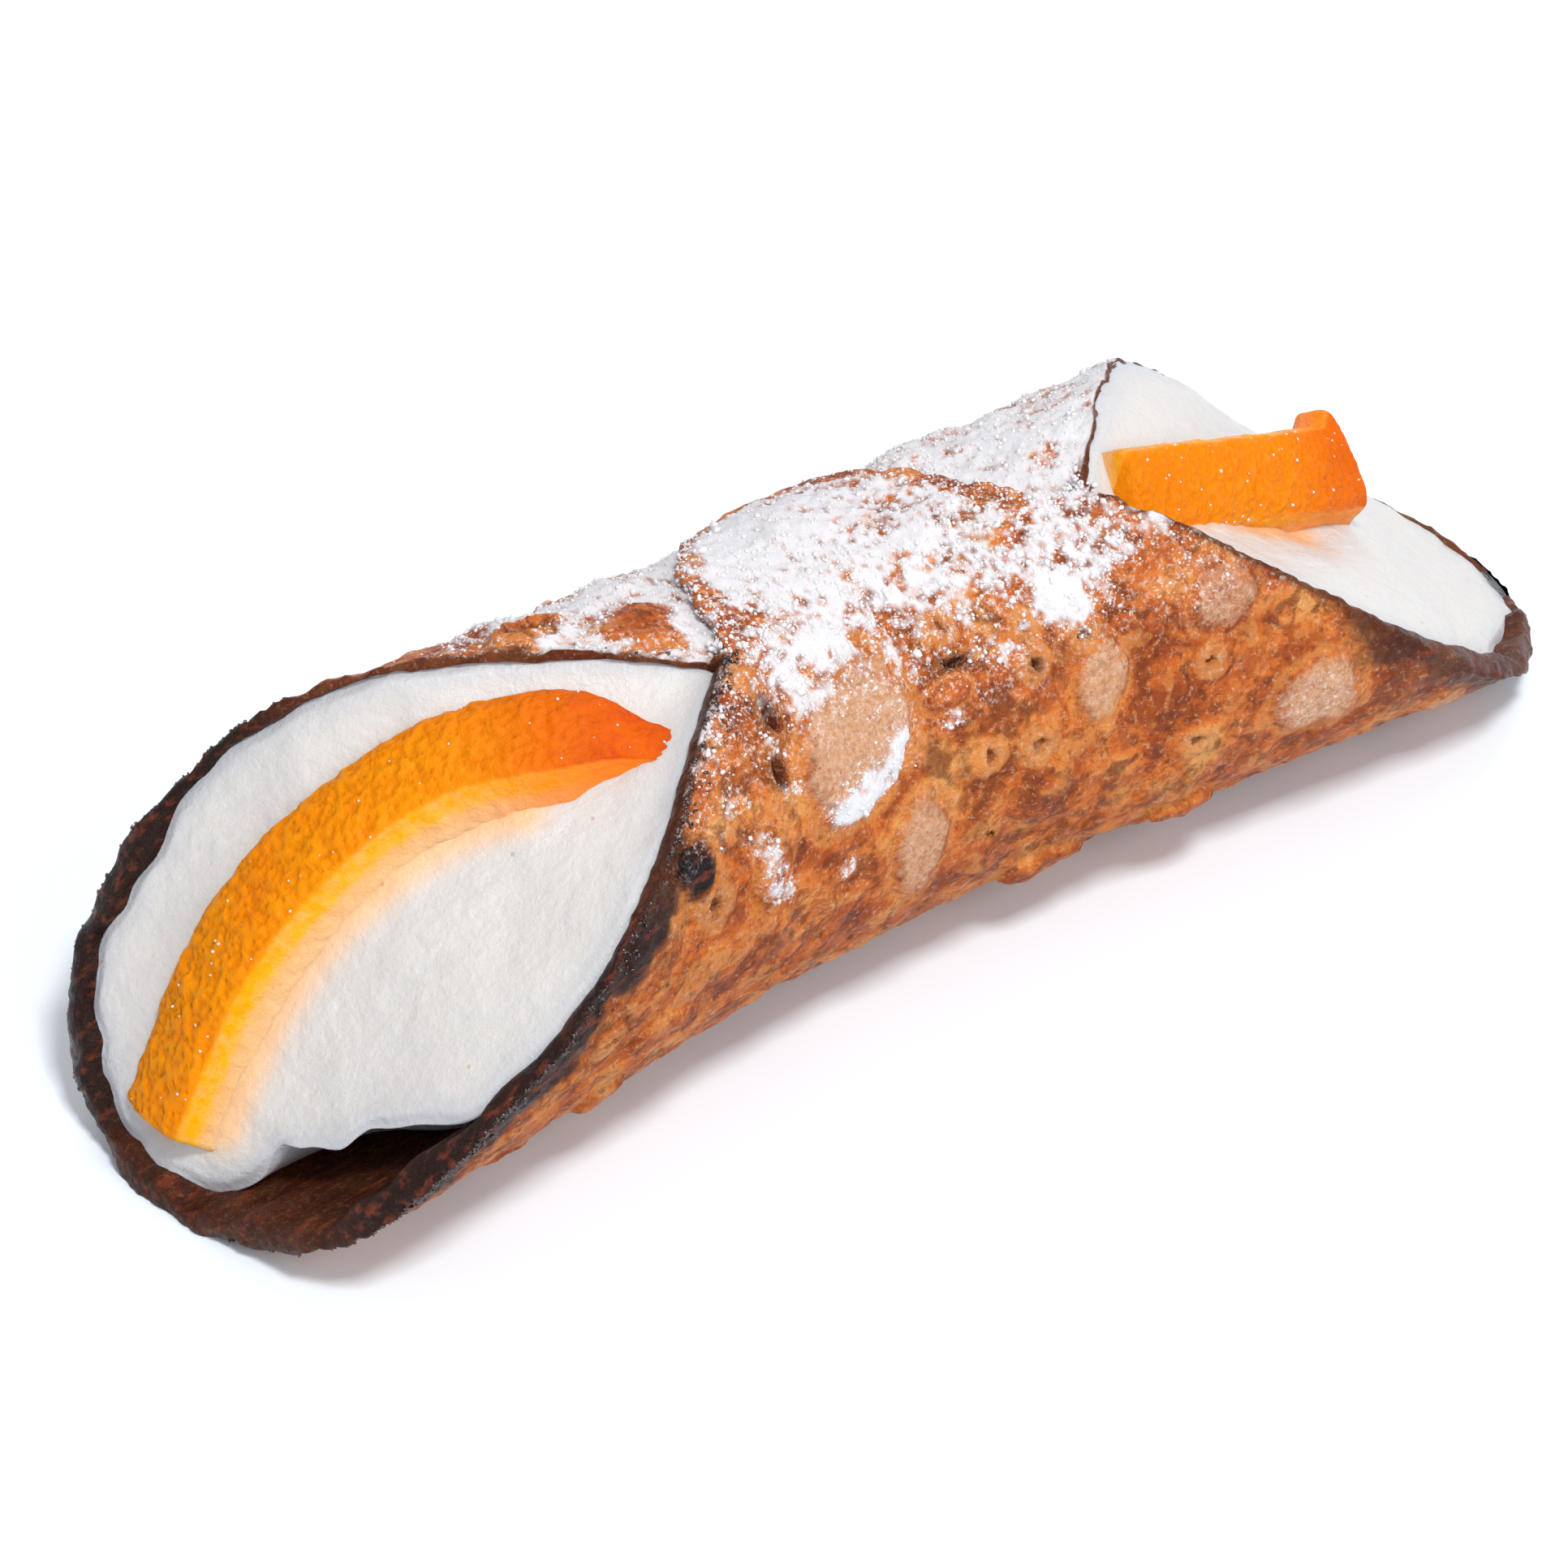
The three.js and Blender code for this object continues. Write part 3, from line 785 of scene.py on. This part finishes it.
def shell_inside(wrap):
    """Rows of points on the inside wall, from the far rim to the near one."""
    share = np.sin(np.linspace(0.5, -0.5, INNER_ROWS) * math.pi)[:, None]
    wall = wall_at(share, wrap[None])
    rough = 0.2 * layered_noise(tube_points(share, wrap[None], -wall), 2.4, 3, 99)
    return tube_points(share, wrap[None], rough - wall)


def make_shell(material):
    """The crust as one closed skin: outside, rounded rims and the inside wall."""
    outer, masks, places = shell_outside()
    inner_wrap = inner_columns()
    inner = shell_inside(inner_wrap)
    far_rim = rim_between(outer[-1], inner[0], 1)
    near_rim = rim_between(inner[-1], outer[0], -1)
    points = np.concatenate([outer, far_rim, inner, near_rim])

    half = RIM_ROWS + INNER_ROWS // 2
    inside = {name: np.zeros((2 * half, len(inner_wrap))) for name in masks}
    inside["toast"][:] = 1
    inside["char"][:half] = rim_burn(1, inner_wrap)[0]
    inside["char"][half:] = rim_burn(-1, inner_wrap)[0]
    attributes = {name: np.concatenate([masks[name], inside[name]]) for name in masks}
    laid = lay_down(points).reshape(-1, 3)
    faces = outward(laid, quads_between(len(points), len(inner_wrap), True, True))
    piece = mesh_object("shell_skin", laid, faces, attributes, material)
    surface = {"points": lay_down(outer), "sugar": masks["sugar"], "dust": masks["dust"], **places}
    return piece, surface


def rim_burn(share, wrap):
    """How burnt each rim is and how far the burnt band runs on to the outside, in millimetres."""
    angle = np.degrees(fold_wrap(wrap))
    low_front = smoothstep(-15, 15, angle) * smoothstep(158, 130, angle)
    low_back = smoothstep(-130, -100, angle) * smoothstep(15, -15, angle)
    high_front = smoothstep(120, 150, angle)
    lip = smoothstep(0, 25, angle) * smoothstep(88, 62, angle)
    near = 0.45 + np.maximum(0.5 * np.maximum(low_front, low_back), 0.35 * high_front) - 0.2 * lip
    near_band = 0.5 + 0.9 * low_back + 0.8 * low_front + 0.5 * high_front
    near_band = near_band + 5.4 * smoothstep(60, 90, angle) * smoothstep(155, 128, angle)
    tip = smoothstep(20, 45, angle) * smoothstep(132, 112, angle)
    far = 0.45 + 0.17 * tip
    far_band = 0.4 + 5.0 * tip
    return np.where(share < 0, near, far), np.where(share < 0, near_band, far_band)


def rim_between(first, second, side):
    """Rows that round the rim from one edge of the wall to the other, rough with burnt bubbles."""
    middle, half = 0.5 * (first + second), 0.5 * (first - second)
    rows = []
    for k in range(1, RIM_ROWS + 1):
        angle = math.pi * k / (RIM_ROWS + 1)
        row = middle + half * math.cos(angle)
        row[:, 0] += side * 0.6 * math.sin(angle)
        rough = 0.3 * layered_noise(row, 1.6, 3, 101)
        row[:, 0] += side * rough * math.sin(angle)
        rows.append(row)
    return np.array(rows)


def cream_edge(mouth, wrap):
    """Edge of the cream's face: near the rim, but sunk and clear of the wall low on the front."""
    angle = np.degrees(wrap)
    if mouth["side"] < 0:
        over = 0
        dip = smoothstep(8, 40, angle) * smoothstep(109, 80, angle)
    else:
        over = smoothstep(-172, -150, angle) * smoothstep(60, 20, angle)
        dip = smoothstep(40, 60, angle) * smoothstep(125, 95, angle)
    setback = 0.4 + 0.9 * np.cos(wrap / 2) ** 2 * (mouth["side"] < 0) - 0.9 * over + mouth["pocket"] * dip
    share = mouth["side"] * (1 - setback / through_stations(mouth["reach"], wrap))
    wall = wall_at(np.clip(share, -1, 1), wrap)
    inwards = wall * (1 - 0.85 * over) - CREAM_OVERLAP + cream_gap(mouth, wrap)
    return share, tube_points(share, wrap, -inwards)


def cream_gap(mouth, wrap):
    """How far the cream stands off the wall low on the front."""
    angle = np.degrees(wrap)
    return mouth["gap"] * smoothstep(28, 55, angle) * smoothstep(109, 80, angle)


def cream_face(mouth, wrap):
    """The free surface of the cream in one mouth: a smooth skin over its edge, in rings from the middle."""
    edge = cream_edge(mouth, wrap)[1]
    waves = np.fft.rfft(edge, axis=0)
    out = np.linspace(0, 1, CREAM_RINGS + 1) ** 0.8
    fade = out[:, None] ** np.arange(len(waves))
    points = np.fft.irfft(waves[None] * fade[..., None], n=len(wrap), axis=1)
    edge_gap = np.linalg.norm(points - edge[None], axis=-1)
    swell = 0.5 * layered_noise(points, 11, 2, 111) + 0.13 * layered_noise(points, 3.5, 3, 121)
    swell = swell + 0.05 * layered_noise(points, 0.9, 2, 131) + mouth["dome"] * (1 - out ** 2)[:, None]
    sunk = mouth["sunk"] * beside_peel(points, 1.3 * abs(mouth["sunk"]) + 2.2)
    lift = smoothstep(0.0, 1.4, edge_gap) * (0.3 + swell - sunk)
    points = points + np.array([0.8 * mouth["side"], 0, 0.6]) * lift[..., None]
    # The second value is 1 at the edge and fades over 4 mm: it carries the painted shade at the cream's edge
    return points, 1 - smoothstep(0.0, 4.0, edge_gap)


def beside_peel(points, reach):
    """How close points are to the lower edges of the strips of peel: 1 there, fading over the reach."""
    near = np.zeros(points.shape[:-1])
    for peel in (NEAR_PEEL, FAR_PEEL):
        centre, _, face, across = peel_frames(peel, PEEL_SPOTS)
        pith = centre - face * 0.6 * peel["thickness"] + across * 0.5 * (peel["width"] + peel["flare"])
        for spot in pith[3:-14]:
            near = np.maximum(near, np.exp(-np.sum((points - spot) ** 2, axis=-1) / reach ** 2))
    return near


def make_cream(material):
    """The cream runs right through the tube, with a free surface in each mouth."""
    wrap = np.linspace(-math.pi, math.pi, CREAM_COLUMNS, endpoint=False)
    near, near_edge_shade = cream_face(NEAR, wrap)
    far, far_edge_shade = cream_face(FAR, wrap)
    start, near_rim = cream_edge(NEAR, wrap)
    end, far_rim = cream_edge(FAR, wrap)
    step = np.concatenate([np.linspace(0, CREAM_NECK, 11)[:-1], np.linspace(CREAM_NECK, 1, 12)])[:, None]
    clear = cream_gap(NEAR, wrap) * smoothstep(CREAM_NECK, 0.02, step)
    side = tube_points(start + (end - start) * step, wrap[None], -WALL + CREAM_OVERLAP - clear)
    side[0], side[-1] = near_rim, far_rim
    faces, first = [], 0
    for grid in (side, near, far):
        faces.append(quads_between(grid.shape[0], grid.shape[1], False, True) + first)
        first += grid.shape[0] * grid.shape[1]
    points = np.concatenate([grid.reshape(-1, 3) for grid in (side, near, far)])
    # Painted shade at the edge of the cream's faces and on its side against the wall
    edge = np.concatenate([np.ones(side.shape[:2]).ravel(), near_edge_shade.ravel(), far_edge_shade.ravel()])
    # Painted glow of light through the peel, on the cream beside the pith
    glow = 0.9 * smoothstep(0.1, 0.95, beside_peel(points, 3.4))
    attributes = {"edge": edge, "glow": glow}
    piece = mesh_object("cream_filling", lay_down(points), np.concatenate(faces), attributes, material)
    weld(piece)
    return piece


def weld(piece):
    """Join points that lie together and turn all faces outwards."""
    shape = bmesh.new()
    shape.from_mesh(piece.data)
    bmesh.ops.remove_doubles(shape, verts=shape.verts, dist=1e-6)
    bmesh.ops.recalc_face_normals(shape, faces=shape.faces)
    shape.to_mesh(piece.data)
    shape.free()


def peel_frames(peel, count):
    """Evenly spaced centres on the middle line, with the ways along, out of the zest and across."""
    curve = smooth_curve(peel["line"], np.linspace(0, len(peel["line"]) - 1, CURVE_STEPS))
    length = np.concatenate([[0], np.cumsum(np.linalg.norm(np.diff(curve, axis=0), axis=1))])
    even = np.linspace(0, length[-1], count)
    centre = np.stack([np.interp(even, length, curve[:, k]) for k in range(3)], axis=-1)
    tangent = np.gradient(centre, axis=0)
    tangent /= np.linalg.norm(tangent, axis=1, keepdims=True)
    mixed = np.linspace(0, 1, count)[:, None]
    face = np.array(peel["face"][0]) * (1 - mixed) + np.array(peel["face"][1]) * mixed
    face = face - tangent * np.sum(face * tangent, axis=1, keepdims=True)
    face /= np.linalg.norm(face, axis=1, keepdims=True)
    return centre, tangent, face, np.cross(tangent, face)


def peel_section(peel, centre, start, end, seed):
    """How far points lie across the strip and out of its zest, with rounded, narrowed or horned ends."""
    close = np.minimum(np.clip(start / 0.9, 0, 1), np.clip(end / peel["round"], 0, 1))
    close = np.sqrt(np.clip(1 - (1 - close) ** 2, 0.0004, 1))
    close = close * (1 - peel["narrow"] * smoothstep(12, 0, end))
    wide, deep = even_section()
    wave = 1 + 0.06 * gradient_noise(centre, 9, seed)[:, None]
    sideways = 0.5 * peel["width"] * wide * close * wave
    sideways = sideways + peel["flare"] * smoothstep(0.8, -1.0, deep) * (wide > 0) * close
    sideways = sideways - peel["horn"] * smoothstep(3.2, 0.4, end) * smoothstep(-0.2, -1.0, wide)
    crown = 0.35 * (1 - wide ** 2) * (deep > 0)
    outwards = 0.5 * peel["thickness"] * (deep * close - 1) + crown * close
    return sideways, outwards


def make_peel(name, peel, material, seed):
    """A strip of peel: pitted zest, soft pith and cut ends."""
    centre, tangent, face, across = peel_frames(peel, PEEL_ROWS)
    length = np.linalg.norm(np.diff(centre, axis=0), axis=1).sum()
    start = np.linspace(0, length, PEEL_ROWS)[:, None]
    end = length - start
    wide, deep = even_section()
    sideways, outwards = peel_section(peel, centre, start, end, seed)
    slant = peel["slant"][0] * smoothstep(8, 0, start) + peel["slant"][1] * smoothstep(8, 0, end)
    points = centre[:, None] + across[:, None] * sideways[..., None] + face[:, None] * outwards[..., None]
    points = points + tangent[:, None] * (slant * sideways)[..., None]
    zest = (deep > 0.7) & np.ones((PEEL_ROWS, 1), bool)
    pores = pore_mask(points, zest, seed) * smoothstep(0.95, 0.8, np.abs(wide)) * smoothstep(0.0, 2.0, end)
    lumps = 0.16 * layered_noise(points, 5, 2, seed + 5) + 0.15 * layered_noise(points, 1.5, 2, seed + 9)
    lumps = lumps * smoothstep(0.0, 2.0, np.minimum(start, end))
    points = points + face[:, None] * (deep * (lumps - 0.34 * pores))[..., None]
    points = points + across[:, None] * (wide * lumps)[..., None]
    masks = {
        "depth": (1 - deep) / 2 + 0 * sideways,
        "pore": pores,
        # The blush holds the redder end and a painted shade over the whole strip
        "blush": peel["painted_shade"] + peel["blush"] * smoothstep(0.62, 0.95, start / length) + 0 * sideways,
    }
    laid = lay_down(points)
    flat = laid.reshape(-1, 3)
    faces = outward(flat, quads_between(PEEL_ROWS, PEEL_SECTION, False, True))
    return mesh_object(name, flat, faces, masks, material), laid, zest


def even_section():
    """A round-cornered section with evenly spaced points, from -1 to 1 both ways."""
    angle = np.linspace(0, 2 * math.pi, SECTION_STEPS)
    wide = np.sign(np.cos(angle)) * np.abs(np.cos(angle)) ** PEEL_CORNERS
    deep = np.sign(np.sin(angle)) * np.abs(np.sin(angle)) ** PEEL_CORNERS
    run = np.concatenate([[0], np.cumsum(np.hypot(np.diff(wide), np.diff(deep)))])
    even = np.linspace(0, run[-1], PEEL_SECTION, endpoint=False)
    return np.interp(even, run, wide), np.interp(even, run, deep)


def pore_mask(points, allowed, seed):
    """Oil pores: small round pits about a millimetre apart over the zest."""
    draw = np.random.default_rng(seed)
    mask = np.zeros(points.shape[:-1])
    rows, columns = np.nonzero(allowed)
    for pick in draw.integers(0, len(rows), ZEST_PORES):
        spot = points[rows[pick], columns[pick]]
        low, high = max(0, rows[pick] - PORE_ROWS), rows[pick] + PORE_ROWS + 1
        far = np.linalg.norm(points[low:high] - spot, axis=-1)
        mask[low:high] = np.maximum(mask[low:high], np.exp(-(far / draw.uniform(0.22, 0.42)) ** 2))
    return mask * allowed


def lump_mesh(name, places, sizes, squash, material):
    """Many small uneven lumps joined in one mesh."""
    golden = (1 + 5 ** 0.5) / 2
    corners = np.array([
        (-1, golden, 0), (1, golden, 0), (-1, -golden, 0), (1, -golden, 0),
        (0, -1, golden), (0, 1, golden), (0, -1, -golden), (0, 1, -golden),
        (golden, 0, -1), (golden, 0, 1), (-golden, 0, -1), (-golden, 0, 1),
    ]) / 1.9
    sides = np.array([
        (0, 11, 5), (0, 5, 1), (0, 1, 7), (0, 7, 10), (0, 10, 11),
        (1, 5, 9), (5, 11, 4), (11, 10, 2), (10, 7, 6), (7, 1, 8),
        (3, 9, 4), (3, 4, 2), (3, 2, 6), (3, 6, 8), (3, 8, 9),
        (4, 9, 5), (2, 4, 11), (6, 2, 10), (8, 6, 7), (9, 8, 1),
    ])
    count = len(places)
    shape = corners[None] * random.uniform(0.65, 1.25, (count, len(corners), 1))
    shape = shape * random.uniform(squash, 1.2, (count, 1, 3)) * sizes[:, None, None]
    points = (places[:, None] + shape * MM).reshape(-1, 3)
    points[:, 2] = np.maximum(points[:, 2], 0)
    faces = (sides[None] + len(corners) * np.arange(count)[:, None, None]).reshape(-1, 3)
    return mesh_object(name, points, faces, {}, material)


def make_sugar(surface, peels, material):
    """Lumps of icing sugar: many at the edge of the dusting, fewer below it, and some on the peel."""
    edge = surface["sugar"] * (1 - surface["sugar"]) * 4
    chance = 0.05 * surface["sugar"] + 0.6 * edge + 0.16 * surface["dust"] ** 2
    chance = chance + 0.5 * np.exp(-(surface["flap"] / 0.7) ** 2) * surface["dust"]
    chance = (chance * (surface["rim"] > 0.6)).ravel()
    picks = random.choice(len(chance), SUGAR_LUMPS, p=chance / chance.sum())
    places = surface["points"].reshape(-1, 3)[picks]
    sizes = random.lognormal(math.log(SUGAR_SIZE), SUGAR_SPREAD, SUGAR_LUMPS)
    for points, zest in peels:
        spots = points[zest]
        extra = random.choice(len(spots), PEEL_SUGAR)
        places = np.vstack([places, spots[extra]])
        sizes = np.concatenate([sizes, random.uniform(*PEEL_SUGAR_SIZES, PEEL_SUGAR)])
    for corner, count in SUGAR_HEAPS:
        heap = lay_down(np.array(corner) + random.normal(0, HEAP_SPREAD, (count, 3)))
        places = np.vstack([places, heap])
        sizes = np.concatenate([sizes, random.uniform(*HEAP_SIZES, count)])
    return lump_mesh("sugar_lumps", places, np.clip(sizes, 0.05, 0.6), 0.7, material)


def make_crumbs(surface, material):
    """Burnt crumbs along the burnt part of the near rim."""
    share, wrap = surface["share"], surface["wrap"]
    chance = np.exp(-surface["rim"] / 0.9) * rim_burn(share, wrap)[0] ** 6 * (share < 0)
    picks = random.choice(chance.size, RIM_CRUMBS, p=chance.ravel() / chance.sum())
    places = surface["points"].reshape(-1, 3)[picks]
    return lump_mesh("rim_crumbs", places, random.uniform(*CRUMB_SIZES, RIM_CRUMBS), 0.4, material)


def make_floor():
    """A wide, flat floor that is only there for the picture."""
    mesh = bpy.data.meshes.new("floor")
    corners = [(-1, -1, 0), (1, -1, 0), (1, 1, 0), (-1, 1, 0)]
    mesh.from_pydata([Vector(corner) * FLOOR_HALF for corner in corners], [], [(0, 1, 2, 3)])
    mesh.materials.append(floor_material())
    floor = bpy.data.objects.new("floor", mesh)
    bpy.context.collection.objects.link(floor)


def area_light(name, place, size, power):
    """A square lamp that looks at the part."""
    data = bpy.data.lights.new(name, "AREA")
    data.energy = power
    data.size = size
    data.color = LAMP_COLOUR
    light = bpy.data.objects.new(name, data)
    light.location = place
    light.rotation_euler = (Vector(LAMP_AIM) - Vector(place)).to_track_quat("-Z", "Y").to_euler()
    bpy.context.collection.objects.link(light)


def make_light():
    """A bright soft room with a lamp above and wider ones in front and behind."""
    world = bpy.data.worlds.new("studio")
    world.use_nodes = True
    room = world.node_tree.nodes["Background"]
    room.inputs["Color"].default_value = ROOM_COLOUR
    room.inputs["Strength"].default_value = ROOM_STRENGTH
    bpy.context.scene.world = world
    for name, (place, size, power) in LAMPS.items():
        area_light(name, place, size, power)


def make_camera():
    """The photograph's camera."""
    data = bpy.data.cameras.new("camera")
    data.sensor_width = SENSOR_WIDTH
    data.lens = SENSOR_WIDTH * CAMERA_DISTANCE / FIELD_WIDTH
    azimuth, elevation = CAMERA_AZIMUTH * DEGREES, CAMERA_ELEVATION * DEGREES
    away = Vector((
        math.sin(azimuth) * math.cos(elevation),
        -math.cos(azimuth) * math.cos(elevation),
        math.sin(elevation),
    ))
    camera = bpy.data.objects.new("camera", data)
    camera.location = (Vector(CAMERA_AIM) + away * CAMERA_DISTANCE) * MM
    camera.rotation_euler = away.to_track_quat("Z", "Y").to_euler()
    bpy.context.collection.objects.link(camera)
    bpy.context.scene.camera = camera


def dress(piece, slot, *nodes):
    """Let a piece ride on the part and stand for CAD nodes."""
    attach(piece, "root")
    if nodes:
        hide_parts(*nodes)


def main():
    make_camera()
    make_floor()
    make_light()
    bpy.context.scene.view_settings.view_transform = "Standard"

    shell, surface = make_shell(crust_material())
    dress(shell, "crust", "shell")
    dress(make_cream(cream_material()), "cream", "cream")
    peel = peel_material()
    near, near_points, near_zest = make_peel("near_peel_strip", NEAR_PEEL, peel, 301)
    far, far_points, far_zest = make_peel("far_peel_strip", FAR_PEEL, peel, 401)
    dress(near, "peel", "near_peel")
    dress(far, "peel", "far_peel")
    dress(make_sugar(surface, [(near_points, near_zest), (far_points, far_zest)], sugar_material()), "cream")
    dress(make_crumbs(surface, crumb_material()), "crust")


main()
